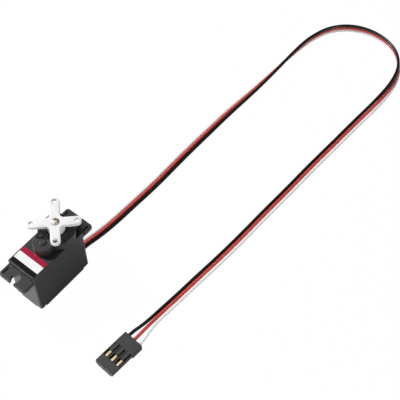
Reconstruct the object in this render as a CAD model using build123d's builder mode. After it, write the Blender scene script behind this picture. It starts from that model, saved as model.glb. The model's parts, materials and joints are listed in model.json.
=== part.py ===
from build123d import *
import os
from math import acos, cos, hypot, pi, radians, sin, tan

# Hobby servo motor of the nine gram class, in millimetres.
# The origin is on the output axis, at the plane that the case stands on. +Z runs up the output
# axis, +X points at the end that the lead leaves, and +Y goes across the case.

# ---------------------------------------------------------------- driving dimensions
CASE_LENGTH = 23.4
CASE_WIDTH = 11.8
LEAD_END_X = 5.9                 # output axis to the end wall that the lead leaves
LABEL_FACE_Z = 21.1
WALL = 0.9
LID_TOP = 4.1                    # parting line between the lid and the case
COVER_BOTTOM = 19.3              # parting line between the case and the gear cover
DECK_BOTTOM, DECK_TOP = 14.0, 15.0
CORNER_RADIUS = 0.6
EDGE_RADIUS = 0.25               # on the outer edges of the mouldings
SEAM_CHAMFER = 0.08              # on both sides of a parting line

TAB_REACH = 4.7                  # mounting tabs beyond each end wall
TAB_WIDTH = 11.6
TAB_BOTTOM = 17.7
TAB_HOLE_REACH = 2.6             # end wall to the centre of the tab's hole
TAB_HOLE_RADIUS = 1.6
TAB_THROAT = 1.95                # width of the gap from the hole to the tab's free edge

TURRET_RADIUS = 6.3
TURRET_TOP = 24.5
LOBE_RADIUS = 3.6
LOBE_X = -6.5
PIP_RADIUS, PIP_HEIGHT = 1.15, 0.45     # round pip on the lobe, over the idler pin

IDLER_X = -6.6                   # axis of the first and third idler gears
MOTOR_X = -11.6                  # axis of the motor, and of the second idler gear above it
FINE_MODULE, COARSE_MODULE = 0.25, 0.3
PRESSURE_ANGLE = 20.0
BACKLASH = 0.05
PIN_RADIUS = 0.4
RUNNING_FIT = 0.05

SCREW_INSET = 1.35               # case screws from the outer faces
SCREW_POST_RADIUS = 1.3
HEAD_NOTCH = 2.6                 # side of the open notch over each screw head
HEAD_NOTCH_DEPTH = 0.9

SHAFT_RADIUS = 2.0
BUSHING_TOP = 24.1               # under the turret's lip
SPLINE_RADIUS = 1.95
SPLINE_TEETH = 21
SPLINE_TOP = 27.9
HORN_BOTTOM, HORN_TOP = 24.9, 29.1
HORN_ARM_THICKNESS = 1.15
HORN_HUB_RADIUS = 2.9
HORN_ARM_WIDTH = 3.3
HORN_HOLE_RADIUS = 0.85
HORN_HOLE_INSET = 1.4            # of a link hole from its arm's tip
HORN_EDGE_RADIUS = 0.3
HORN_WEB_RADIUS = 1.5            # between neighbouring arms
SCREW_HEAD_RADIUS = 1.4
HORN_ARMS = ((45, 9.5), (135, 9.2), (225, 8.7), (315, 8.6))     # direction and reach of each arm

MOTOR_RADIUS = 4.1
MOTOR_BOTTOM = 5.4
BOARD_BOTTOM, BOARD_TOP = 1.0, 1.8

WIRE_RADIUS = 0.6
WIRE_PITCH = 1.24
LEAD_EXIT_Z = 2.75

PLUG_LENGTH, PLUG_WIDTH, PLUG_HEIGHT = 14.0, 7.8, 2.6
PLUG_CORNER = (-20.7, -40.9)     # where the plug's front right corner lies
PLUG_TURN = -3.4                 # degrees from +X to the plug's long axis
PLUG_PITCH = 2.54

# ---------------------------------------------------------------- places worked out from them
FAR_END_X = LEAD_END_X - CASE_LENGTH
MIDDLE_X = LEAD_END_X - CASE_LENGTH / 2
SCREWS = [
    (x, y)
    for x in (FAR_END_X + SCREW_INSET, LEAD_END_X - SCREW_INSET)
    for y in (-CASE_WIDTH / 2 + SCREW_INSET, CASE_WIDTH / 2 - SCREW_INSET)
]
PLUG_PLANE = Plane((*PLUG_CORNER, 0), x_dir=(cos(radians(PLUG_TURN)), sin(radians(PLUG_TURN)), 0))
PLUG_ROWS = {
    "white": PLUG_WIDTH / 2 - PLUG_PITCH,
    "red": PLUG_WIDTH / 2,
    "black": PLUG_WIDTH / 2 + PLUG_PITCH,
}


def save(piece, name):
    """Labels a finished piece and writes it under its own name."""
    piece.part.label = name
    export_step(piece.part, f"parts/{name}.step")


def outline(z, inset=0.0, radius=CORNER_RADIUS):
    """The case's outline at height z, drawn in by an inset."""
    with BuildSketch(Plane.XY.offset(z)) as face:
        with Locations((MIDDLE_X, 0)):
            RectangleRounded(CASE_LENGTH - 2 * inset, CASE_WIDTH - 2 * inset, radius)
    return face.sketch


def hollow(z):
    """The room inside the walls at height z, with the four screw posts left standing."""
    with BuildSketch(Plane.XY.offset(z)) as face:
        with Locations((MIDDLE_X, 0)):
            Rectangle(CASE_LENGTH - 2 * WALL, CASE_WIDTH - 2 * WALL)
        with Locations(*SCREWS):
            Circle(SCREW_POST_RADIUS, mode=Mode.SUBTRACT)
    return face.sketch


def holes(z, radius, places):
    """Round holes of one radius at the places given."""
    with BuildSketch(Plane.XY.offset(z)) as face:
        with Locations(*places):
            Circle(radius)
    return face.sketch


def ring(z, outer, inner, x=0.0):
    """A flat ring about a vertical axis at x."""
    with BuildSketch(Plane.XY.offset(z)) as face:
        with Locations((x, 0)):
            Circle(outer)
            Circle(inner, mode=Mode.SUBTRACT)
    return face.sketch


def involute(angle):
    return tan(angle) - angle


def gear(z, x, teeth, module, first_tooth):
    """A spur gear's outline: its axis at x, with one tooth centred on the first_tooth direction."""
    pitch_radius = teeth * module / 2
    base_radius = pitch_radius * cos(radians(PRESSURE_ANGLE))
    tip_radius = pitch_radius + 0.8 * module
    root_radius = pitch_radius - 1.2 * module
    half_tooth = (pi * module / 2 - BACKLASH) / (2 * pitch_radius)

    def flank(radius):
        """Half of the tooth's angle at a radius."""
        if radius <= base_radius:
            return half_tooth + involute(radians(PRESSURE_ANGLE))
        turn = acos(base_radius / radius)
        return half_tooth + involute(radians(PRESSURE_ANGLE)) - involute(turn)

    def corner(radius, side):
        angle = side * flank(radius)
        return radius * cos(angle), radius * sin(angle)

    start = max(base_radius, root_radius)
    middle = (start + tip_radius) / 2
    foot = root_radius - 0.3 * module
    with BuildSketch() as tooth:
        with BuildLine():
            foot_left = (foot * cos(flank(foot)), foot * sin(flank(foot)))
            foot_right = (foot_left[0], -foot_left[1])
            Polyline(corner(start, 1), foot_left, foot_right, corner(start, -1))
            ThreePointArc(corner(start, 1), corner(middle, 1), corner(tip_radius, 1))
            ThreePointArc(corner(start, -1), corner(middle, -1), corner(tip_radius, -1))
            ThreePointArc(corner(tip_radius, 1), (tip_radius, 0), corner(tip_radius, -1))
        make_face()
    with BuildSketch(Plane((x, 0, z))) as face:
        Circle(root_radius)
        with PolarLocations(0, teeth, start_angle=first_tooth):
            add(tooth.sketch)
    return face.sketch


os.makedirs("parts", exist_ok=True)

# ================================================================ case
# Bottom lid: a shallow tray, notched at its corners for the screw heads.
with BuildPart() as bottom_lid:
    extrude(outline(0), amount=LID_TOP)
    fillet(bottom_lid.edges().group_by(Axis.Z)[0], EDGE_RADIUS)
    chamfer(bottom_lid.edges().group_by(Axis.Z)[-1], SEAM_CHAMFER)
    extrude(hollow(BOARD_BOTTOM), amount=LID_TOP - BOARD_BOTTOM, mode=Mode.SUBTRACT)
    with BuildSketch():
        for x in (FAR_END_X + HEAD_NOTCH / 2, LEAD_END_X - HEAD_NOTCH / 2):
            for y in (-CASE_WIDTH / 2 + HEAD_NOTCH / 2, CASE_WIDTH / 2 - HEAD_NOTCH / 2):
                with Locations((x, y)):
                    Rectangle(HEAD_NOTCH, HEAD_NOTCH)
    extrude(amount=HEAD_NOTCH_DEPTH, mode=Mode.SUBTRACT)
    extrude(holes(0, 0.75, SCREWS), amount=LID_TOP, mode=Mode.SUBTRACT)
    with BuildSketch(Plane.XY.offset(1.9)):
        with Locations((LEAD_END_X, 0)):
            Rectangle(3, 4.4)
    extrude(amount=LID_TOP - 1.9, mode=Mode.SUBTRACT)
save(bottom_lid, "bottom_lid")

# Middle of the case: walls, the deck that carries the gear train, and the two mounting tabs.
with BuildPart() as case_middle:
    with BuildSketch(Plane.XY.offset(TAB_BOTTOM)):
        with Locations((MIDDLE_X, 0)):
            RectangleRounded(CASE_LENGTH + 2 * TAB_REACH, TAB_WIDTH, 1.0)
    extrude(amount=COVER_BOTTOM - TAB_BOTTOM)
    fillet(case_middle.edges().filter_by(Axis.Z, reverse=True), EDGE_RADIUS)
    with BuildPart(mode=Mode.PRIVATE) as walls:
        extrude(outline(LID_TOP), amount=COVER_BOTTOM - LID_TOP)
        chamfer(walls.edges().group_by(Axis.Z)[0], SEAM_CHAMFER)
        chamfer(walls.edges().group_by(Axis.Z)[-1], SEAM_CHAMFER)
    add(walls.part)
    extrude(hollow(LID_TOP), amount=DECK_BOTTOM - LID_TOP, mode=Mode.SUBTRACT)
    extrude(hollow(DECK_TOP), amount=COVER_BOTTOM - DECK_TOP, mode=Mode.SUBTRACT)
    extrude(holes(LID_TOP, 0.75, SCREWS), amount=COVER_BOTTOM - LID_TOP, mode=Mode.SUBTRACT)
    extrude(holes(DECK_BOTTOM, 1.55, [(MOTOR_X, 0)]), amount=1, mode=Mode.SUBTRACT)
    extrude(holes(DECK_BOTTOM, PIN_RADIUS, [(IDLER_X, 0)]), amount=1, mode=Mode.SUBTRACT)
    extrude(holes(DECK_BOTTOM, 1.3, [(0, 0)]), amount=1, mode=Mode.SUBTRACT)
    with BuildSketch(Plane.XY.offset(TAB_BOTTOM)):
        for end, out in ((LEAD_END_X, 1), (FAR_END_X, -1)):
            with Locations((end + out * TAB_HOLE_REACH, 0)):
                Circle(TAB_HOLE_RADIUS)
            with Locations((end + out * (TAB_HOLE_REACH + TAB_REACH) / 2 + out * 0.5, 0)):
                Rectangle(TAB_REACH - TAB_HOLE_REACH + 1, TAB_THROAT)
    extrude(amount=COVER_BOTTOM - TAB_BOTTOM, mode=Mode.SUBTRACT)
    with BuildSketch(Plane.XY.offset(COVER_BOTTOM)):
        with Locations((LEAD_END_X + 2.3, 4.6), (LEAD_END_X + 2.3, -4.6), (FAR_END_X - 2.3, 4.6)):
            Rectangle(2.8, 0.6)
    extrude(amount=-0.6, mode=Mode.SUBTRACT)
save(case_middle, "case_middle")

# Gear cover: the top of the case, with the round turret and its smaller lobe.
with BuildPart() as gear_cover:
    extrude(outline(COVER_BOTTOM), amount=LABEL_FACE_Z - COVER_BOTTOM)
    fillet(gear_cover.edges().group_by(Axis.Z)[-1], EDGE_RADIUS)
    chamfer(gear_cover.edges().group_by(Axis.Z)[0], SEAM_CHAMFER)
    with BuildSketch(Plane.XY.offset(LABEL_FACE_Z - 1)):
        Circle(TURRET_RADIUS)
        with Locations((LOBE_X, 0)):
            Circle(LOBE_RADIUS)
        with Locations((MIDDLE_X, 0)):
            Rectangle(CASE_LENGTH, CASE_WIDTH, mode=Mode.INTERSECT)
    extrude(amount=TURRET_TOP - LABEL_FACE_Z + 1)
    rim = gear_cover.faces().filter_by(Axis.Z).sort_by(Axis.Z)[-1]
    chamfer(rim.edges(), 0.2)
    extrude(holes(TURRET_TOP, PIP_RADIUS, [(IDLER_X, 0)]), amount=PIP_HEIGHT)
    pip = gear_cover.faces().filter_by(Axis.Z).sort_by(Axis.Z)[-1]
    fillet(pip.edges(), 0.2)
    extrude(hollow(COVER_BOTTOM), amount=0.8, mode=Mode.SUBTRACT)
    with BuildSketch(Plane.XY.offset(COVER_BOTTOM)):
        Circle(5.05)
        with Locations((IDLER_X, 0)):
            Circle(2.7)
    extrude(amount=2.9, mode=Mode.SUBTRACT)
    extrude(holes(22.0, 3.0, [(0, 0)]), amount=BUSHING_TOP - 22.0, mode=Mode.SUBTRACT)
    extrude(holes(22.0, SHAFT_RADIUS + 0.2, [(0, 0)]), amount=3, mode=Mode.SUBTRACT)
    extrude(holes(22.0, PIN_RADIUS, [(IDLER_X, 0)]), amount=2.0, mode=Mode.SUBTRACT)
    extrude(holes(20.0, PIN_RADIUS, [(MOTOR_X, 0)]), amount=0.7, mode=Mode.SUBTRACT)
    extrude(holes(COVER_BOTTOM, 0.65, SCREWS), amount=1.2, mode=Mode.SUBTRACT)
save(gear_cover, "gear_cover")

# Sticker on the label face.
with BuildPart() as label:
    with BuildSketch(Plane.XY.offset(LABEL_FACE_Z)):
        with Locations((-13.55, 0)):
            RectangleRounded(6.5, 10.7, 0.25)
    extrude(amount=0.08)
save(label, "label")

# Four long screws that hold lid, case and cover together, their heads in the lid's notches.
with BuildPart() as case_screws:
    extrude(holes(HEAD_NOTCH_DEPTH, 1.1, SCREWS), amount=-0.75)
    extrude(holes(HEAD_NOTCH_DEPTH, 0.65, SCREWS), amount=COVER_BOTTOM + 1.0 - HEAD_NOTCH_DEPTH)
    with BuildSketch(Plane.XY.offset(HEAD_NOTCH_DEPTH - 0.75)):
        with Locations(*SCREWS):
            Rectangle(1.3, 0.3)
            Rectangle(0.3, 1.3)
    extrude(amount=0.4, mode=Mode.SUBTRACT)
save(case_screws, "case_screws")

# Strain relief that fills the lid's notch where the lead leaves.
with BuildPart() as lead_grommet:
    with BuildSketch(Plane.XY.offset(1.9)):
        with Locations((LEAD_END_X - WALL / 2, 0)):
            Rectangle(WALL, 4.4)
    extrude(amount=LID_TOP - 1.9)
    with BuildSketch(Plane.XY.offset(1.9)):
        with Locations((LEAD_END_X - WALL - 0.25, 0)):
            Rectangle(0.5, 5.2)
    extrude(amount=LID_TOP - 1.9)
    with BuildSketch(Plane.YZ.offset(LEAD_END_X - 3)):
        with Locations(*[(side * WIRE_PITCH, LEAD_EXIT_Z) for side in (-1, 0, 1)]):
            Circle(WIRE_RADIUS)
    extrude(amount=4, mode=Mode.SUBTRACT)
save(lead_grommet, "lead_grommet")

# ================================================================ output
# Output gear in one piece with its shaft: wiper end, gear, bearing length and spline.
with BuildPart() as output_gear:
    extrude(holes(10.2, 1.25, [(0, 0)]), amount=19.0 - 10.2)
    extrude(gear(19.0, 0, 30, COARSE_MODULE, 180 + 6), amount=2.4)
    extrude(holes(21.4, 3.2, [(0, 0)]), amount=0.5)
    extrude(holes(21.9, SHAFT_RADIUS, [(0, 0)]), amount=24.7 - 21.9)
    with BuildSketch(Plane.XY.offset(24.7)):
        Circle(SPLINE_RADIUS)
        with PolarLocations(SPLINE_RADIUS, SPLINE_TEETH):
            RegularPolygon(0.16, 3, rotation=180, mode=Mode.SUBTRACT)
    extrude(amount=SPLINE_TOP - 24.7)
    extrude(holes(SPLINE_TOP - 6.0, 0.65, [(0, 0)]), amount=6.0, mode=Mode.SUBTRACT)
save(output_gear, "output_gear")

with BuildPart() as output_bushing:
    extrude(ring(22.2, 3.0, SHAFT_RADIUS + RUNNING_FIT), amount=BUSHING_TOP - 22.2)
save(output_bushing, "output_bushing")

# Four-armed horn: a splined hub under arms that each have one link hole near the tip.
with BuildPart() as horn:
    extrude(holes(HORN_BOTTOM, HORN_HUB_RADIUS, [(0, 0)]), amount=HORN_TOP - HORN_BOTTOM)
    with BuildSketch(Plane.XY.offset(HORN_TOP - HORN_ARM_THICKNESS)) as arms:
        for direction, reach in HORN_ARMS:
            half = HORN_ARM_WIDTH / 2
            with BuildSketch(Plane.XY.rotated((0, 0, direction)), mode=Mode.PRIVATE) as arm:
                with Locations((reach / 2 - half / 2, 0)):
                    Rectangle(reach - half, HORN_ARM_WIDTH)
                with Locations((reach - half, 0)):
                    Circle(half)
            add(arm.sketch)
        fillet(arms.vertices().group_by(SortBy.DISTANCE)[0], HORN_WEB_RADIUS)
    extrude(amount=HORN_ARM_THICKNESS)
    horn_face = horn.faces().filter_by(Axis.Z).sort_by(Axis.Z)[-1]
    fillet(horn_face.outer_wire().edges(), HORN_EDGE_RADIUS)
    link_holes = []
    for direction, reach in HORN_ARMS:
        out = reach - HORN_HOLE_INSET
        link_holes.append((out * cos(radians(direction)), out * sin(radians(direction))))
    extrude(holes(20, HORN_HOLE_RADIUS, link_holes), amount=12, mode=Mode.SUBTRACT)
    extrude(holes(HORN_BOTTOM, SPLINE_RADIUS + 0.02, [(0, 0)]), amount=SPLINE_TOP + 0.1 - HORN_BOTTOM,
            mode=Mode.SUBTRACT)
    extrude(holes(SPLINE_TOP, 0.85, [(0, 0)]), amount=4, mode=Mode.SUBTRACT)
save(horn, "horn")

# Pan head screw that holds the horn on, with a cross recess.
with BuildPart() as horn_screw:
    extrude(holes(22.6, 0.65, [(0, 0)]), amount=HORN_TOP - 22.6)
    with BuildSketch(Plane.XZ):
        with BuildLine():
            Line((0, HORN_TOP), (SCREW_HEAD_RADIUS, HORN_TOP))
            Line((SCREW_HEAD_RADIUS, HORN_TOP), (SCREW_HEAD_RADIUS, HORN_TOP + 0.3))
            ThreePointArc((SCREW_HEAD_RADIUS, HORN_TOP + 0.3), (0.9, HORN_TOP + 0.68), (0, HORN_TOP + 0.8))
            Line((0, HORN_TOP + 0.8), (0, HORN_TOP))
        make_face()
    revolve(axis=Axis.Z)
    with BuildSketch(Plane.XY.offset(HORN_TOP + 0.1).rotated((0, 0, 8))):
        Rectangle(1.7, 0.42)
        Rectangle(0.42, 1.7)
    extrude(amount=1, mode=Mode.SUBTRACT)
save(horn_screw, "horn_screw")

# ================================================================ gear train
with BuildPart() as motor_pinion:
    extrude(gear(15.2, MOTOR_X, 8, FINE_MODULE, 0), amount=0.95)
    extrude(holes(15.2, PIN_RADIUS, [(MOTOR_X, 0)]), amount=0.95, mode=Mode.SUBTRACT)
save(motor_pinion, "motor_pinion")

with BuildPart() as idler_gear_1:
    extrude(gear(15.3, IDLER_X, 32, FINE_MODULE, 180 + 180 / 32), amount=0.8)
    extrude(gear(16.1, IDLER_X, 8, FINE_MODULE, 180), amount=1.4)
    extrude(holes(15.3, PIN_RADIUS + RUNNING_FIT, [(IDLER_X, 0)]), amount=3, mode=Mode.SUBTRACT)
save(idler_gear_1, "idler_gear_1")

with BuildPart() as idler_gear_2:
    extrude(gear(16.6, MOTOR_X, 32, FINE_MODULE, 180 / 32), amount=0.8)
    extrude(gear(17.4, MOTOR_X, 8, FINE_MODULE, 0), amount=1.3)
    extrude(holes(16.6, PIN_RADIUS + RUNNING_FIT, [(MOTOR_X, 0)]), amount=3, mode=Mode.SUBTRACT)
save(idler_gear_2, "idler_gear_2")

with BuildPart() as idler_gear_3:
    extrude(gear(17.8, IDLER_X, 32, FINE_MODULE, 180 + 180 / 32), amount=0.8)
    extrude(gear(18.6, IDLER_X, 14, COARSE_MODULE, 0), amount=3.0)
    extrude(holes(17.8, PIN_RADIUS + RUNNING_FIT, [(IDLER_X, 0)]), amount=5, mode=Mode.SUBTRACT)
save(idler_gear_3, "idler_gear_3")

with BuildPart() as idler_pin:
    extrude(holes(14.2, PIN_RADIUS, [(IDLER_X, 0)]), amount=23.5 - 14.2)
save(idler_pin, "idler_pin")

with BuildPart() as cover_pin:
    extrude(holes(16.3, 0.65, [(MOTOR_X, 0)]), amount=0.2)
    extrude(holes(16.5, PIN_RADIUS, [(MOTOR_X, 0)]), amount=20.7 - 16.5)
save(cover_pin, "cover_pin")

# ================================================================ motor
with BuildPart() as motor_can:
    extrude(holes(MOTOR_BOTTOM, MOTOR_RADIUS, [(MOTOR_X, 0)]), amount=DECK_BOTTOM - MOTOR_BOTTOM)
    extrude(holes(DECK_BOTTOM, 1.5, [(MOTOR_X, 0)]), amount=0.7)
    extrude(holes(MOTOR_BOTTOM, 3.7, [(MOTOR_X, 0)]), amount=8.2, mode=Mode.SUBTRACT)
    extrude(holes(13, 0.9, [(MOTOR_X, 0)]), amount=2, mode=Mode.SUBTRACT)
save(motor_can, "motor_can")

with BuildPart() as motor_front_bush:
    extrude(ring(13.5, 0.9, 0.45, MOTOR_X), amount=1.2)
save(motor_front_bush, "motor_front_bush")

with BuildPart() as motor_end_bell:
    extrude(holes(5.0, 3.7, [(MOTOR_X, 0)]), amount=1.2)
    extrude(holes(5.0, 1.3, [(MOTOR_X, 0)]), amount=-0.6)
    extrude(holes(4.4, 0.45, [(MOTOR_X, 0)]), amount=3, mode=Mode.SUBTRACT)
save(motor_end_bell, "motor_end_bell")

with BuildPart() as motor_magnets:
    extrude(ring(7.0, 3.7, 2.8, MOTOR_X), amount=5.6)
    with BuildSketch(Plane.XY.offset(7.0)):
        with Locations((MOTOR_X, 0)):
            Rectangle(3.0, 8)
    extrude(amount=5.6, mode=Mode.SUBTRACT)
save(motor_magnets, "motor_magnets")

with BuildPart() as rotor_shaft:
    extrude(holes(4.6, PIN_RADIUS, [(MOTOR_X, 0)]), amount=16.15 - 4.6)
save(rotor_shaft, "rotor_shaft")

# Three-pole core: a hub, three necks and three curved pole shoes.
with BuildPart() as rotor_core:
    with BuildSketch(Plane((MOTOR_X, 0, 7.6))):
        Circle(2.45)
        Circle(2.05, mode=Mode.SUBTRACT)
        with PolarLocations(0, 3, start_angle=60):
            with Locations((2.2, 0)):
                Rectangle(1, 0.5, mode=Mode.SUBTRACT)
        with PolarLocations(0, 3):
            with Locations((1.1, 0)):
                Rectangle(2.1, 0.7)
        Circle(0.9)
        Circle(PIN_RADIUS, mode=Mode.SUBTRACT)
    extrude(amount=4.4)
save(rotor_core, "rotor_core")

with BuildPart() as rotor_windings:
    with BuildSketch(Plane((MOTOR_X, 0, 7.2))):
        with PolarLocations(0, 3):
            with Locations((1.45, 0)):
                Rectangle(0.8, 1.7)
    extrude(amount=5.2)
    with BuildSketch(Plane((MOTOR_X, 0, 7.6))):
        with PolarLocations(0, 3):
            with Locations((1.45, 0)):
                Rectangle(1.0, 0.7)
    extrude(amount=4.4, mode=Mode.SUBTRACT)
save(rotor_windings, "rotor_windings")

with BuildPart() as commutator:
    extrude(ring(6.35, 0.75, PIN_RADIUS, MOTOR_X), amount=0.75)
save(commutator, "commutator")

with BuildPart() as motor_brushes:
    with BuildSketch(Plane.XY.offset(6.2)):
        with Locations((MOTOR_X, 0.87), (MOTOR_X, -0.87)):
            Rectangle(3.0, 0.14)
    extrude(amount=0.7)
save(motor_brushes, "motor_brushes")

with BuildPart() as motor_terminals:
    with BuildSketch(Plane.XY.offset(BOARD_TOP)):
        with Locations((MOTOR_X, 2.4), (MOTOR_X, -2.4)):
            Rectangle(0.8, 0.25)
    extrude(amount=5.0 - BOARD_TOP)
save(motor_terminals, "motor_terminals")

# ================================================================ position sensor
with BuildPart() as pot_body:
    extrude(holes(9.0, 4.0, [(0, 0)]), amount=DECK_BOTTOM - 9.0)
    extrude(holes(9.6, 3.5, [(0, 0)]), amount=3.8, mode=Mode.SUBTRACT)
    extrude(holes(13, 1.5, [(0, 0)]), amount=2, mode=Mode.SUBTRACT)
save(pot_body, "pot_body")

with BuildPart() as pot_track:
    extrude(ring(9.6, 3.3, 2.3), amount=0.15)
save(pot_track, "pot_track")

with BuildPart() as pot_wiper:
    extrude(ring(10.8, 2.9, 1.25), amount=0.8)
    with BuildSketch(Plane.XY.offset(9.8)):
        with Locations((2.6, 0)):
            Rectangle(0.4, 0.6)
    extrude(amount=1.0)
save(pot_wiper, "pot_wiper")

with BuildPart() as pot_pins:
    extrude(holes(BOARD_TOP, 0.25, [(-2, -2.54), (-2, 0), (-2, 2.54)]), amount=9.0 - BOARD_TOP)
save(pot_pins, "pot_pins")

# ================================================================ control board
with BuildPart() as control_board:
    with BuildSketch(Plane.XY.offset(BOARD_BOTTOM)):
        with Locations((MIDDLE_X, 0)):
            Rectangle(CASE_LENGTH - 2 * WALL - 0.4, CASE_WIDTH - 2 * WALL - 0.4)
        with Locations(*SCREWS):
            Circle(SCREW_POST_RADIUS + 0.2, mode=Mode.SUBTRACT)
    extrude(amount=BOARD_TOP - BOARD_BOTTOM)
save(control_board, "control_board")

with BuildPart() as board_chips:
    with BuildSketch(Plane.XY.offset(BOARD_TOP)):
        with Locations((-7.4, 0.4)):
            Rectangle(3.9, 3.9)
        with Locations((-11.6, 0)):
            Rectangle(2.9, 3.0)
    extrude(amount=0.9)
save(board_chips, "board_chips")

with BuildPart() as board_passives:
    with BuildSketch(Plane.XY.offset(BOARD_TOP)):
        with Locations((-14.6, -1.6), (-14.6, 1.6), (-4.2, -2.6), (-4.2, 2.6), (-7.4, -3.2)):
            Rectangle(1.0, 0.5)
    extrude(amount=0.45)
save(board_passives, "board_passives")

with BuildPart() as solder_joints:
    with BuildSketch(Plane.XY.offset(BOARD_TOP)):
        with Locations(*[(2.2, side * WIRE_PITCH) for side in (-1, 0, 1)]):
            Rectangle(1.4, 0.9)
    extrude(amount=1.6)
save(solder_joints, "solder_joints")

# ================================================================ plug
# Flat three-way housing: three channels from the rear, each with a window and its latch tongue,
# pin holes at the front, and long bevels under the front two thirds.
CHANNEL = 1.9
WINDOW_FRONT, WINDOW_REAR, WINDOW_WIDTH = 3.4, 9.3, 2.14
TONGUE_FRONT, TONGUE_WIDTH, TONGUE_OFFSET = 6.0, 1.3, 0.16
with BuildPart() as plug_housing:
    with BuildSketch(PLUG_PLANE):
        with Locations((PLUG_LENGTH / 2, PLUG_WIDTH / 2)):
            RectangleRounded(PLUG_LENGTH, PLUG_WIDTH, 0.3)
    extrude(amount=PLUG_HEIGHT)
    fillet(plug_housing.edges().group_by(Axis.Z)[-1], 0.2)
    bevel_plane = Plane(PLUG_PLANE.origin, x_dir=PLUG_PLANE.y_dir, z_dir=PLUG_PLANE.x_dir)
    with BuildSketch(bevel_plane):
        Polygon((0, 0), (1.1, 0), (0, 1.1), align=None)
        Polygon((PLUG_WIDTH, 0), (PLUG_WIDTH - 1.1, 0), (PLUG_WIDTH, 1.1), align=None)
    extrude(amount=9.4, mode=Mode.SUBTRACT)
    with BuildSketch(PLUG_PLANE.offset(0.5)):
        for row in PLUG_ROWS.values():
            with Locations(((PLUG_LENGTH + 1.6) / 2, row)):
                Rectangle(PLUG_LENGTH - 1.6, CHANNEL)
    extrude(amount=1.6, mode=Mode.SUBTRACT)
    with BuildSketch(PLUG_PLANE.offset(0.9)):
        for row in PLUG_ROWS.values():
            with Locations((1, row)):
                Rectangle(3, 0.8)
    extrude(amount=0.8, mode=Mode.SUBTRACT)
    with BuildSketch(PLUG_PLANE.offset(2.1)):
        for row in PLUG_ROWS.values():
            with Locations(((WINDOW_FRONT + WINDOW_REAR) / 2, row)):
                Rectangle(WINDOW_REAR - WINDOW_FRONT, WINDOW_WIDTH)
            with Locations(((WINDOW_REAR + TONGUE_FRONT) / 2 + 0.2, row + TONGUE_OFFSET)):
                Rectangle(WINDOW_REAR - TONGUE_FRONT + 0.4, TONGUE_WIDTH, mode=Mode.SUBTRACT)
    extrude(amount=1, mode=Mode.SUBTRACT)
save(plug_housing, "plug_housing")

# One crimp contact per wire: a box that takes the pin, a strip, and the barrel round the wire.
for colour, row in PLUG_ROWS.items():
    with BuildPart() as contact:
        with BuildSketch(PLUG_PLANE.offset(0.55)):
            with Locations(((1.8 + 6.4) / 2, row)):
                Rectangle(6.4 - 1.8, 1.5)
        extrude(amount=1.5)
        chamfer(contact.edges().group_by(Axis.Z)[-1].sort_by(Edge.length)[-2:], 0.35)
        with BuildSketch(PLUG_PLANE.offset(0.95)):
            with Locations(((1.8 + 6.4) / 2, row)):
                Rectangle(6.4 - 1.8, 0.8)
        extrude(amount=0.8, mode=Mode.SUBTRACT)
        with BuildSketch(PLUG_PLANE.offset(0.55)):
            with Locations(((6.4 + 12.4) / 2, row)):
                Rectangle(12.4 - 6.4, 1.2)
        extrude(amount=0.15)
    save(contact, f"contact_{colour}")

# ================================================================ lead
# The ribbon's middle wire: x, y, lift off the floor, roll in degrees, and spacing of the wires.
# At a roll of 0 the ribbon lies flat, and at 90 it stands on edge with the black wire on top.
FLAT_LIFT = 0.02
RIBBON = [
    (2.9, 0.0, 2.15, 0, WIRE_PITCH),
    (9.0, 0.0, 2.15, 0, WIRE_PITCH),
    (15.2, -0.7, 1.2, 0, WIRE_PITCH),
    (23.0, -1.1, 0.3, 0, WIRE_PITCH),
    (34.0, -1.3, FLAT_LIFT, 0, WIRE_PITCH),
    (47.0, -1.8, FLAT_LIFT, 0, WIRE_PITCH),
    (61.0, -1.5, FLAT_LIFT, 2, WIRE_PITCH),
    (76.0, -1.7, FLAT_LIFT, 6, WIRE_PITCH),
    (90.0, -2.0, FLAT_LIFT, 14, WIRE_PITCH),
    (104.0, -3.0, FLAT_LIFT, 28, WIRE_PITCH),
    (117.6, -3.6, FLAT_LIFT, 50, WIRE_PITCH),
    (129.3, -3.9, FLAT_LIFT, 75, WIRE_PITCH),
    (140.0, -4.6, FLAT_LIFT, 88, WIRE_PITCH),
    (150.0, -7.9, FLAT_LIFT, 90, WIRE_PITCH),
    (156.8, -15.1, FLAT_LIFT, 90, WIRE_PITCH),
    (159.2, -25.0, FLAT_LIFT, 90, WIRE_PITCH),
    (157.0, -34.6, FLAT_LIFT, 88, WIRE_PITCH),
    (150.6, -41.3, FLAT_LIFT, 78, WIRE_PITCH),
    (141.5, -44.2, FLAT_LIFT, 50, WIRE_PITCH),
    (130.0, -44.4, FLAT_LIFT, 22, WIRE_PITCH),
    (117.0, -43.5, FLAT_LIFT, 6, WIRE_PITCH),
    (103.0, -42.9, FLAT_LIFT, 0, WIRE_PITCH),
    (89.0, -42.2, FLAT_LIFT, 0, WIRE_PITCH),
    (75.0, -41.9, FLAT_LIFT, 0, WIRE_PITCH),
    (61.0, -41.3, FLAT_LIFT, 0, WIRE_PITCH),
    (48.0, -41.0, FLAT_LIFT, 0, WIRE_PITCH),
    (36.0, -40.4, FLAT_LIFT, 0, WIRE_PITCH),
    (25.0, -39.5, FLAT_LIFT, 0, WIRE_PITCH),
    (15.5, -38.9, FLAT_LIFT, 0, WIRE_PITCH),
    (7.5, -38.2, 0.1, 0, WIRE_PITCH),
    (0.5, -37.9, 0.4, 0, 1.4),
    (-5.0, -37.9, 0.7, 0, PLUG_PITCH),
    (-10.29, -37.6, 0.7, 0, PLUG_PITCH),
]


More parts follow.
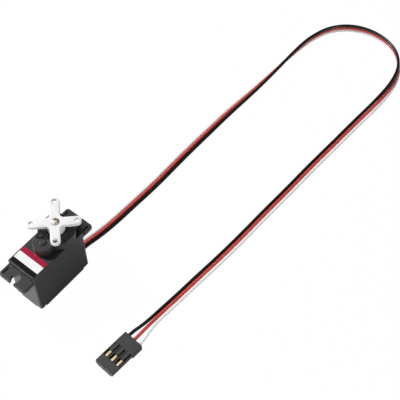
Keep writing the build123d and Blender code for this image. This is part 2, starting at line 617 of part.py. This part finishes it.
def wire_route(side):
    """Points of one wire: side is 1 for black, 0 for red and -1 for white."""
    points = []
    for i, (x, y, lift, roll, pitch) in enumerate(RIBBON):
        before = RIBBON[max(i - 1, 0)]
        after = RIBBON[min(i + 1, len(RIBBON) - 1)]
        along = (after[0] - before[0], after[1] - before[1])
        length = hypot(*along)
        across = side * pitch * cos(radians(roll)) / length
        height = WIRE_RADIUS + lift + (1 + side) * pitch * sin(radians(roll))
        points.append((x + along[1] * across, y - along[0] * across, height))
    return points


def bend_radii(points):
    """The largest arcs that the runs leave room for: 0.45 of the shorter run over tan(half turn)."""
    radii = []
    for before, here, after in zip(points, points[1:], points[2:]):
        run_in = Vector(here) - Vector(before)
        run_out = Vector(after) - Vector(here)
        shorter = min(run_in.length, run_out.length)
        radii.append(0.45 * shorter / tan(radians(run_in.get_angle(run_out)) / 2))
    return radii


for colour, side in (("black", 1), ("red", 0), ("white", -1)):
    points = wire_route(side)
    radii = bend_radii(points)
    with BuildPart() as wire:
        with BuildLine() as path:
            FilletPolyline(*points, radius=radii)
        with BuildSketch(Plane(path.line @ 0, z_dir=path.line % 0)):
            Circle(WIRE_RADIUS)
        sweep()
    save(wire, f"lead_{colour}")
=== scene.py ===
import json
from math import cos, hypot, radians, sin

import bpy
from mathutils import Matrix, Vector

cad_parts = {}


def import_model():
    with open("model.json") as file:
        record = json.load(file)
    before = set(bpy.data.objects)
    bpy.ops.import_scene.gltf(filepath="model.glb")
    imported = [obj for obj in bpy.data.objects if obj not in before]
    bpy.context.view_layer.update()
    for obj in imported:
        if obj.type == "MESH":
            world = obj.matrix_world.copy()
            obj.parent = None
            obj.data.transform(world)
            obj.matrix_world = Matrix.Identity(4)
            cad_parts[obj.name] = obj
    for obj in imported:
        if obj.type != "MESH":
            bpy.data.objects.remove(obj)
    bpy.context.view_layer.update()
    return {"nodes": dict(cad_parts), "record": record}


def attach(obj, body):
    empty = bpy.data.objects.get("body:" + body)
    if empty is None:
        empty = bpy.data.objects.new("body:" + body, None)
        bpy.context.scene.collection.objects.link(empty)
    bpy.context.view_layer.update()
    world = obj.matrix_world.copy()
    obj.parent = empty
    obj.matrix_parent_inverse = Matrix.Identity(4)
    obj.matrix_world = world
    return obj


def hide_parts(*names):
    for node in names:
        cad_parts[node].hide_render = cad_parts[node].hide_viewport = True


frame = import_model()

# Looks for a hobby servo motor with a four-armed horn and a flat three-wire lead.
# The origin is on the output axis at the plane that the case stands on, +Z runs up the axis, and +X
# points at the lead's end. Sizes and places are in millimetres, and MM turns them into the packed
# model's metres. Angles are in degrees, and azimuths run from the -Y side round by +X.
MM = 0.001

# ---------------------------------------------------------------- camera settings
CAMERA_AIM = (51.35, -18.98, 0.0)
CAMERA_AZIMUTH, CAMERA_ELEVATION = -50.86, 56.28
CAMERA_DISTANCE = 355.0
CAMERA_LENS, CAMERA_SENSOR = 87.45, 36.0
CAMERA_NEAR, CAMERA_FAR = 10.0, 10000.0

# ---------------------------------------------------------------- light settings
WHITE = (1.0, 1.0, 1.0, 1.0)
AMBIENT = 0.06              # strength of the light from all round
BACKDROP = 1.0              # strength of the white that the camera sees past the floor
FLOOR_REACH = 3000.0        # from the middle of the floor to each side
FLOOR_DROP = 0.02           # how far the floor lies below the object
FLOOR_PAPER = (0.93, 0.93, 0.93, 1.0)
FLOOR_ROUGHNESS = 0.9
FLOOR_WHITENESS = 0.985     # share of plain white in the floor as the camera sees it
LIGHT_AIM = (20.0, -10.0, 10.0)
LIGHTS = {                  # square lamps, with their power in watts
    "key": dict(azimuth=192, elevation=51, distance=900, size=150, power=7.8),
    "softbox": dict(azimuth=262, elevation=52, distance=700, size=420, power=0.7),
    "fill": dict(azimuth=350, elevation=10, distance=700, size=200, power=1.4),
}

# ---------------------------------------------------------------- lead settings
WIRE_RADIUS = 0.6
WIRE_PITCH = 1.24
PLUG_PITCH = 2.54
FLAT_LIFT = 0.02
WIRES = (("black", 1, 347.2), ("red", 0, 347.7), ("white", -1, 348.4))   # colour, side, length
# The route of the ribbon's middle wire: x, y, lift off the floor, roll, and spacing of the wires.
# At a roll of 0 the ribbon lies flat, and at 90 it stands on edge, black on top.
RIBBON = [
    (2.9, 0.0, 2.15, 0, WIRE_PITCH),
    (9.0, 0.0, 2.15, 0, WIRE_PITCH),
    (15.2, -0.7, 1.2, 0, WIRE_PITCH),
    (23.0, -1.1, 0.3, 0, WIRE_PITCH),
    (34.0, -1.3, FLAT_LIFT, 0, WIRE_PITCH),
    (47.0, -1.8, FLAT_LIFT, 0, WIRE_PITCH),
    (61.0, -1.5, FLAT_LIFT, 2, WIRE_PITCH),
    (76.0, -1.7, FLAT_LIFT, 6, WIRE_PITCH),
    (90.0, -2.0, FLAT_LIFT, 14, WIRE_PITCH),
    (104.0, -3.0, FLAT_LIFT, 28, WIRE_PITCH),
    (117.6, -3.6, FLAT_LIFT, 50, WIRE_PITCH),
    (129.3, -3.9, FLAT_LIFT, 75, WIRE_PITCH),
    (140.0, -4.6, FLAT_LIFT, 88, WIRE_PITCH),
    (150.0, -7.9, FLAT_LIFT, 90, WIRE_PITCH),
    (156.8, -15.1, FLAT_LIFT, 90, WIRE_PITCH),
    (159.2, -25.0, FLAT_LIFT, 90, WIRE_PITCH),
    (157.0, -34.6, FLAT_LIFT, 88, WIRE_PITCH),
    (150.6, -41.3, FLAT_LIFT, 78, WIRE_PITCH),
    (141.5, -44.2, FLAT_LIFT, 50, WIRE_PITCH),
    (130.0, -44.4, FLAT_LIFT, 22, WIRE_PITCH),
    (117.0, -43.5, FLAT_LIFT, 6, WIRE_PITCH),
    (103.0, -42.9, FLAT_LIFT, 0, WIRE_PITCH),
    (89.0, -42.2, FLAT_LIFT, 0, WIRE_PITCH),
    (75.0, -41.9, FLAT_LIFT, 0, WIRE_PITCH),
    (61.0, -41.3, FLAT_LIFT, 0, WIRE_PITCH),
    (48.0, -41.0, FLAT_LIFT, 0, WIRE_PITCH),
    (36.0, -40.4, FLAT_LIFT, 0, WIRE_PITCH),
    (25.0, -39.5, FLAT_LIFT, 0, WIRE_PITCH),
    (15.5, -38.9, FLAT_LIFT, 0, WIRE_PITCH),
    (7.5, -38.2, 0.1, 0, WIRE_PITCH),
    (0.5, -37.9, 0.4, 0, 1.4),
    (-5.0, -37.9, 0.7, 0, PLUG_PITCH),
    (-10.29, -37.6, 0.7, 0, PLUG_PITCH),
]
CURVE_ORDER = 3             # a wire's curve is made of parabolas
CURVE_STEPS = 10            # from one point of the route to the next
WIRE_SIDES = 16             # of a wire's section

# ---------------------------------------------------------------- finish settings
# Shades are shares of a colour, and spans are the values that a source runs between.
CLOUD_SHADE = 0.86          # of the darker clouds in moulded plastic
PAINTED_CREASE_SHADE = 0.15         # of the painted shade in a moulded crease
INK_SHADE = 0.93            # of the darker clouds in printed film
PAINTED_RECESS_SHADE = 0.08          # of the painted shade in a recess in metal
PAINTED_EDGE_SHADE = 0.12            # of the painted shade along a metal edge
WEAR_AND_HIGHLIGHT = (0.2, 0.5)           # share of the pale colour along an edge, part wear and part painted highlight, from patch to patch
WORN_AND_LIT_REACH = 1.5            # of a worn edge with its painted highlight, in roundings of that edge
WORN_POLISH = 0.12          # how much smoother a worn edge is
TARNISH = (0.0, 0.8)        # share of the dull colour in metal, from patch to patch
STREAKS = (1, 1, 8)         # how many times finer the grain of metal is along X, Y and Z
PRINT_BLUR = 0.02           # half the width of the change from one printed stripe to the next
NOISE_SPAN = (0.3, 0.7)     # nearly all of a noise
EDGE_SPAN = (0.75, 0.995)   # cosine between the true and the rounded normal, at an edge and on a flat
OPEN_SPAN = (0.45, 0.9)     # openness, in a deep recess and on an open face
BEVEL_SAMPLES = 6           # rays that find a rounded normal
OPEN_SAMPLES = 8            # rays that find an openness
MIX_COLOURS, MIX_RESULT = (6, 7), 2   # places of the colour sockets on a mix node
EVEN = (1.0, 1.0, 1.0)      # light sinks in to the same depth in red, green and blue

LABEL_BLACK = (0.009, 0.009, 0.009)
LABEL_WHITE = (0.95, 0.95, 0.96)
LABEL_CRIMSON = (0.42, 0.014, 0.055)
LABEL_STRIPES = ((-15.1, LABEL_WHITE), (-12.2, LABEL_CRIMSON))   # x of the lower edge, colour


# ---------------------------------------------------------------- the camera
def stand(name, data, aim, azimuth, elevation, distance):
    """Puts a camera or a lamp at a distance from its aim, and turns it to look there."""
    turn, rise = radians(azimuth), radians(elevation)
    away = Vector((sin(turn) * cos(rise), -cos(turn) * cos(rise), sin(rise)))
    made = bpy.data.objects.new(name, data)
    made.location = (Vector(aim) + distance * away) * MM
    made.rotation_mode = "QUATERNION"
    made.rotation_quaternion = (-away).to_track_quat("-Z", "Y")
    bpy.context.scene.collection.objects.link(made)
    return made


def camera():
    """The main camera, turned to CAMERA_AIM."""
    data = bpy.data.cameras.new("camera")
    data.sensor_width = CAMERA_SENSOR
    data.lens = CAMERA_LENS
    data.clip_start, data.clip_end = CAMERA_NEAR * MM, CAMERA_FAR * MM
    bpy.context.scene.camera = stand(
        "camera", data, CAMERA_AIM, CAMERA_AZIMUTH, CAMERA_ELEVATION, CAMERA_DISTANCE
    )


# ---------------------------------------------------------------- the wires
def wire_route(side):
    """Points of one wire: side is 1 for black, 0 for red and -1 for white."""
    points = []
    for i, (x, y, lift, roll, pitch) in enumerate(RIBBON):
        before = RIBBON[max(i - 1, 0)]
        after = RIBBON[min(i + 1, len(RIBBON) - 1)]
        along = (after[0] - before[0], after[1] - before[1])
        across = side * pitch * cos(radians(roll)) / hypot(*along)
        height = WIRE_RADIUS + lift + (1 + side) * pitch * sin(radians(roll))
        points.append(Vector((x + along[1] * across, y - along[0] * across, height)) * MM)
    return points


def wire(colour, side):
    """One wire of the lead, as a smooth curve over the route's points."""
    route = wire_route(side)
    data = bpy.data.curves.new(f"wire_{colour}", "CURVE")
    data.dimensions = "3D"
    data.bevel_depth = 1.0      # times each point's radius, which also sets how far the curve's box reaches
    data.bevel_resolution = (WIRE_SIDES - 4) // 2     # 0 gives four sides, and each step adds two
    data.resolution_u = CURVE_STEPS
    data.use_fill_caps = True
    spline = data.splines.new("NURBS")
    spline.points.add(len(route) - 1)
    for point, place in zip(spline.points, route):
        point.co = (*place, 1.0)
        point.radius = WIRE_RADIUS * MM
    spline.order_u = CURVE_ORDER
    spline.use_endpoint_u = True
    lead = bpy.data.objects.new(f"wire_{colour}", data)
    bpy.context.scene.collection.objects.link(lead)
    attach(lead, "case")
    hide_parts(f"lead_{colour}")
    return lead


# ---------------------------------------------------------------- the finishes
def shaded(colour, share):
    """A colour made darker by a share."""
    return [share * value for value in colour]


class Finish:
    """A material being built: one Principled shader, fed by nodes in object space."""

    def __init__(self, name, **sockets):
        self.material = bpy.data.materials.new(name)
        self.material.use_nodes = True
        self.tree = self.material.node_tree
        self.shader = self.tree.nodes["Principled BSDF"]
        self.place = self.node("ShaderNodeTexCoord").outputs["Object"]
        for socket, value in sockets.items():
            self.shader.inputs[socket.replace("_", " ")].default_value = value

    def node(self, kind, **settings):
        made = self.tree.nodes.new(kind)
        for setting, value in settings.items():
            setattr(made, setting, value)
        return made

    def link(self, source, target):
        self.tree.links.new(source, target)

    def feed(self, source, socket):
        self.link(source, self.shader.inputs[socket])

    def give(self, values, sockets):
        """Links or sets each socket, by whether its value is a socket, a colour or a number."""
        for value, socket in zip(values, sockets):
            if isinstance(value, bpy.types.NodeSocket):
                self.link(value, socket)
            elif socket.type == "RGBA":
                socket.default_value = (*value, 1.0)
            else:
                socket.default_value = value

    def stretched(self, factors):
        """Object space with each axis scaled by its own factor."""
        mapping = self.node("ShaderNodeMapping")
        mapping.inputs["Scale"].default_value = factors
        self.link(self.place, mapping.inputs["Vector"])
        return mapping.outputs["Vector"]

    def noise(self, size, detail=2.0, roughness=0.5, place=None):
        """Noise whose features are about size millimetres across, from 0 to 1."""
        made = self.node("ShaderNodeTexNoise")
        made.inputs["Scale"].default_value = 1 / (size * MM)
        made.inputs["Detail"].default_value = detail
        made.inputs["Roughness"].default_value = roughness
        self.link(place or self.place, made.inputs["Vector"])
        return made.outputs["Fac"]

    def spread(self, source, low=0.0, high=1.0, span=NOISE_SPAN):
        """Maps a source from its span to the range from low to high, clamped."""
        made = self.node("ShaderNodeMapRange")
        limits = [made.inputs[end] for end in ("From Min", "From Max", "To Min", "To Max")]
        self.give((*span, low, high), limits)
        self.link(source, made.inputs["Value"])
        return made.outputs["Result"]

    def uneven(self, source, middle, below=0.05, above=0.08):
        """A value that strays below and above its middle with a source."""
        return self.spread(source, middle - below, middle + above)

    def mix(self, share, first, second):
        """Mixes two colours, each a socket or a colour, by a share that is a socket."""
        made = self.node("ShaderNodeMix", data_type="RGBA")
        self.link(share, made.inputs["Factor"])
        self.give((first, second), [made.inputs[i] for i in MIX_COLOURS])
        return made.outputs[MIX_RESULT]

    def combine(self, operation, first, second):
        """A math node over sockets or numbers."""
        made = self.node("ShaderNodeMath", operation=operation)
        self.give((first, second), made.inputs)
        return made.outputs["Value"]

    def rounded(self, radius):
        """The surface's normal, turned as if its edges had a radius in millimetres."""
        bevel = self.node("ShaderNodeBevel", samples=BEVEL_SAMPLES)
        bevel.inputs["Radius"].default_value = radius * MM
        return bevel.outputs["Normal"]

    def edges(self, radius):
        """About 1 on edges sharper than the radius in millimetres, and 0 on flats."""
        normal = self.node("ShaderNodeNewGeometry").outputs["Normal"]
        cosine = self.node("ShaderNodeVectorMath", operation="DOT_PRODUCT")
        self.give((self.rounded(radius), normal), cosine.inputs)
        return self.spread(cosine.outputs["Value"], low=1.0, high=0.0, span=EDGE_SPAN)

    def hollows(self, reach):
        """About 1 in recesses narrower than the reach in millimetres, and 0 on open faces."""
        openness = self.node("ShaderNodeAmbientOcclusion", samples=OPEN_SAMPLES)
        openness.inputs["Distance"].default_value = reach * MM
        return self.spread(openness.outputs["AO"], low=1.0, high=0.0, span=OPEN_SPAN)

    def bump(self, height, depth, rounding=0.0):
        """Turns a height from 0 to 1 into relief of a depth in millimetres, over rounded edges."""
        made = self.node("ShaderNodeBump")
        made.inputs["Strength"].default_value = 1.0
        made.inputs["Distance"].default_value = depth * MM
        self.link(height, made.inputs["Height"])
        if rounding:
            self.link(self.rounded(rounding), made.inputs["Normal"])
        self.feed(made.outputs["Normal"], "Normal")


def moulded(
    name, colour, wear_and_highlight_colour, roughness, grain=0.12, relief=0.006, rounding=0.12, crease_shade_reach=0.0, **sockets
):
    """Moulded plastic: a spark-eroded grain, faint clouding, smoother worn edges that are paler by wear and
    by a painted highlight, and painted shade in creases.
    """
    finish = Finish(name, **sockets)
    cloud = finish.noise(size=4.0, detail=3.0)
    speck = finish.noise(grain, roughness=0.6)
    patches = finish.spread(finish.noise(size=0.9), *WEAR_AND_HIGHLIGHT)
    # Paler edges: partly wear, partly a painted highlight standing in for light catching the edges.
    worn_and_lit = finish.combine("MULTIPLY", finish.edges(WORN_AND_LIT_REACH * rounding), patches)
    body = finish.mix(finish.spread(cloud), colour, shaded(colour, CLOUD_SHADE))
    # Painted shade: the colour darkens in creases and corners, where little light reaches.
    if crease_shade_reach:
        body = finish.mix(finish.hollows(crease_shade_reach), body, shaded(colour, PAINTED_CREASE_SHADE))
    finish.feed(finish.mix(worn_and_lit, body, wear_and_highlight_colour), "Base Color")
    rough = finish.uneven(speck, roughness, above=0.07)
    polish = finish.combine("MULTIPLY", worn_and_lit, WORN_POLISH)
    finish.feed(finish.combine("SUBTRACT", rough, polish), "Roughness")
    finish.bump(speck, relief, rounding)
    return finish.material


def striped(name, base, stripes, roughness, relief=0.003, rounding=0.04, **sockets):
    """Printed film: a base colour, and bands over it, each from its own lower edge along X upward."""
    finish = Finish(name, **sockets)
    speck = finish.noise(size=0.08)
    cloud = finish.noise(size=3.0, detail=3.0)
    clouded = finish.spread(cloud)
    along = finish.node("ShaderNodeSeparateXYZ")
    finish.link(finish.place, along.inputs["Vector"])
    shown = finish.mix(clouded, base, shaded(base, INK_SHADE))
    for edge, colour in stripes:
        blur = ((edge - PRINT_BLUR) * MM, (edge + PRINT_BLUR) * MM)
        inked = finish.mix(clouded, colour, shaded(colour, INK_SHADE))
        shown = finish.mix(finish.spread(along.outputs["X"], span=blur), shown, inked)
    finish.feed(shown, "Base Color")
    finish.feed(finish.uneven(cloud, roughness), "Roughness")
    finish.bump(speck, relief, rounding)
    return finish.material


def metal(
    name, colour, dull, roughness, grain=0.25, relief=0.003, rounding=0.05, recess_shade_reach=0.0, edge_shade_reach=0.0
):
    """Drawn, turned or plated metal: fine streaks, faint tarnish, rounded edges, and painted shade in
    recesses and along edges.
    """
    finish = Finish(name, Metallic=1.0)
    streaks = finish.noise(grain, detail=3.0, roughness=0.65, place=finish.stretched(STREAKS))
    tarnish = finish.noise(size=1.6, detail=3.0)
    shown = finish.mix(finish.spread(tarnish, *TARNISH), colour, dull)
    # Painted shade: the colour darkens in recesses, where little light reaches.
    if recess_shade_reach:
        shown = finish.mix(finish.hollows(recess_shade_reach), shown, shaded(dull, PAINTED_RECESS_SHADE))
    # Painted shade: the colour darkens along edges, standing in for the shaded flanks of a rounded part.
    if edge_shade_reach:
        shown = finish.mix(finish.edges(edge_shade_reach), shown, shaded(dull, PAINTED_EDGE_SHADE))
    finish.feed(shown, "Base Color")
    finish.feed(finish.uneven(streaks, roughness), "Roughness")
    finish.bump(streaks, relief, rounding)
    return finish.material


def vinyl(name, colour, shade, roughness, depth, relief=0.008):
    """Extruded vinyl that light sinks into by a depth in millimetres: faint dimples, clouded gloss."""
    finish = Finish(
        name, Specular_IOR_Level=0.45,
        Subsurface_Weight=0.7, Subsurface_Scale=depth * MM, Subsurface_Radius=EVEN
    )
    cloud = finish.noise(size=2.5, detail=3.0)
    skin = finish.noise(size=0.22)
    finish.feed(finish.mix(finish.spread(cloud), colour, shade), "Base Color")
    finish.feed(finish.uneven(cloud, roughness, below=0.06), "Roughness")
    finish.bump(skin, relief)
    return finish.material


# Each is given its colour, a second colour that it wears, dulls or clouds to, and its roughness; on moulded
# edges the paler second colour is also a painted highlight. Some are also given how far painted shade
# reaches into their creases or recesses, or along their edges. The label is given its base colour, its
# stripes and its roughness.
FINISHES = {
    "case_plastic": lambda name: moulded(
        name, (0.039, 0.0372, 0.0377), (0.13, 0.128, 0.128), 0.32, rounding=0.15, crease_shade_reach=1.2,
        Specular_IOR_Level=0.45
    ),
    "label_stock": lambda name: striped(name, LABEL_BLACK, LABEL_STRIPES, 0.5, Specular_IOR_Level=0.05),
    "screw_steel": lambda name: metal(name, (0.55, 0.55, 0.56), (0.42, 0.42, 0.44), 0.32, recess_shade_reach=0.5),
    "horn_screw_nickel": lambda name: metal(name, (0.97, 0.95, 0.9), (0.93, 0.86, 0.7), 0.45, recess_shade_reach=0.35),
    "grommet_rubber": lambda name: moulded(name, (0.02, 0.02, 0.02), (0.05, 0.05, 0.05), 0.6),
    "bushing_brass": lambda name: metal(name, (0.78, 0.58, 0.28), (0.6, 0.42, 0.2), 0.28),
    "pin_steel": lambda name: metal(name, (0.6, 0.6, 0.62), (0.48, 0.48, 0.5), 0.2),
    "motor_steel": lambda name: metal(name, (0.55, 0.56, 0.58), (0.44, 0.45, 0.47), 0.34),
    "bell_plastic": lambda name: moulded(name, (0.05, 0.05, 0.05), (0.1, 0.1, 0.1), 0.5),
    "magnet_ferrite": lambda name: moulded(name, (0.07, 0.07, 0.08), (0.12, 0.12, 0.13), 0.7),
    "brush_copper": lambda name: metal(name, (0.75, 0.4, 0.2), (0.55, 0.28, 0.15), 0.3),
    "pot_plastic": lambda name: moulded(name, (0.06, 0.06, 0.07), (0.12, 0.12, 0.13), 0.5),
    "track_carbon": lambda name: moulded(name, (0.02, 0.02, 0.02), (0.04, 0.04, 0.04), 0.5),
    "board_laminate": lambda name: moulded(name, (0.015, 0.13, 0.05), (0.2, 0.25, 0.12), 0.3),
    "chip_epoxy": lambda name: moulded(name, (0.02, 0.02, 0.02), (0.05, 0.05, 0.05), 0.45),
    "passive_ceramic": lambda name: moulded(name, (0.5, 0.36, 0.22), (0.6, 0.5, 0.4), 0.4),
    "solder_tin": lambda name: metal(name, (0.65, 0.65, 0.66), (0.5, 0.5, 0.52), 0.25),
    "plug_plastic": lambda name: moulded(
        name, (0.055, 0.055, 0.056), (0.11, 0.11, 0.111), 0.36, crease_shade_reach=0.8, Specular_IOR_Level=0.45
    ),
    "contact_gold": lambda name: metal(
        name, (1.0, 0.89, 0.62), (0.78, 0.55, 0.24), 0.4, rounding=0.3, recess_shade_reach=0.6, edge_shade_reach=0.6
    ),
    "wire_black": lambda name: vinyl(name, (0.006, 0.006, 0.006), (0.011, 0.011, 0.011), 0.32, depth=0.05),
    "wire_red": lambda name: vinyl(name, (0.7, 0.1, 0.085), (0.61, 0.072, 0.06), 0.34, depth=0.3),
    "wire_white": lambda name: vinyl(name, (0.97, 0.97, 0.97), (0.95, 0.95, 0.945), 0.34, depth=0.6),
    "winding_enamel": lambda name: metal(name, (0.6, 0.22, 0.08), (0.45, 0.15, 0.05), 0.3),
    "gear_nylon": lambda name: moulded(name, (0.82, 0.81, 0.77), (0.9, 0.9, 0.87), 0.4),
    "horn_nylon": lambda name: moulded(
        name, (0.96, 0.96, 0.955), (0.98, 0.98, 0.98), 0.36, grain=0.3, relief=0.004, rounding=0.25,
        Subsurface_Weight=0.45, Subsurface_Scale=0.5 * MM, Subsurface_Radius=EVEN
    ),
    "wiper_plastic": lambda name: moulded(name, (0.16, 0.16, 0.16), (0.25, 0.25, 0.25), 0.4),
}


def dress():
    """Gives every CAD node the finish of its slot in the record, and returns all the finishes."""
    slots = {part["node"]: part["material_slot"] for part in frame["record"]["subparts"]}
    made = {slot: build(slot) for slot, build in FINISHES.items()}
    for name, node in frame["nodes"].items():
        node.data.materials.clear()
        node.data.materials.append(made[slots[name]])
    return made


# ---------------------------------------------------------------- the stage
def blend(tree, share, first, second, surface):
    """Mixes two shaders by a share, into the surface of a material or a world."""
    made = tree.nodes.new("ShaderNodeMixShader")
    for source, socket in zip((share, first, second), made.inputs):
        tree.links.new(source, socket)
    tree.links.new(made.outputs["Shader"], surface)


def world():
    """Dim light from all round, and plain white where the camera sees past the floor."""
    studio = bpy.data.worlds.new("studio")
    studio.use_nodes = True
    tree = studio.node_tree
    around = tree.nodes["Background"]
    backdrop = tree.nodes.new("ShaderNodeBackground")
    for background, strength in ((around, AMBIENT), (backdrop, BACKDROP)):
        background.inputs["Color"].default_value = WHITE
        background.inputs["Strength"].default_value = strength
    seen = tree.nodes.new("ShaderNodeLightPath").outputs["Is Camera Ray"]
    surface = tree.nodes["World Output"].inputs["Surface"]
    blend(tree, seen, around.outputs["Background"], backdrop.outputs["Background"], surface)
    bpy.context.scene.world = studio


def paper():
    """White paper that lights the object as paper does, and looks evenly white itself."""
    finish = Finish("studio_floor", Base_Color=FLOOR_PAPER, Roughness=FLOOR_ROUGHNESS)
    glow = finish.node("ShaderNodeEmission")
    glow.inputs["Color"].default_value = WHITE
    seen = finish.node("ShaderNodeLightPath").outputs["Is Camera Ray"]
    share = finish.combine("MULTIPLY", seen, FLOOR_WHITENESS)
    surface = finish.tree.nodes["Material Output"].inputs["Surface"]
    blend(finish.tree, share, finish.shader.outputs["BSDF"], glow.outputs["Emission"], surface)
    return finish.material


def floor():
    """A wide square of paper under the object."""
    data = bpy.data.meshes.new("floor")
    reach = FLOOR_REACH * MM
    corners = [(-reach, -reach, 0), (reach, -reach, 0), (reach, reach, 0), (-reach, reach, 0)]
    data.from_pydata(corners, [], [(0, 1, 2, 3)])
    sheet = bpy.data.objects.new("floor", data)
    sheet.location.z = -FLOOR_DROP * MM
    bpy.context.scene.collection.objects.link(sheet)
    sheet.data.materials.append(paper())


def light(name, azimuth, elevation, distance, size, power):
    """A square area light, turned to LIGHT_AIM."""
    data = bpy.data.lights.new(name, "AREA")
    data.size = size * MM
    data.energy = power
    stand(name, data, LIGHT_AIM, azimuth, elevation, distance)


camera()
finishes = dress()
for colour, side, length in WIRES:
    wire(colour, side).data.materials.append(finishes[f"wire_{colour}"])
bpy.context.scene.view_settings.view_transform = "Standard"
world()
floor()
for name, setup in LIGHTS.items():
    light(name, **setup)

bpy.context.view_layer.update()
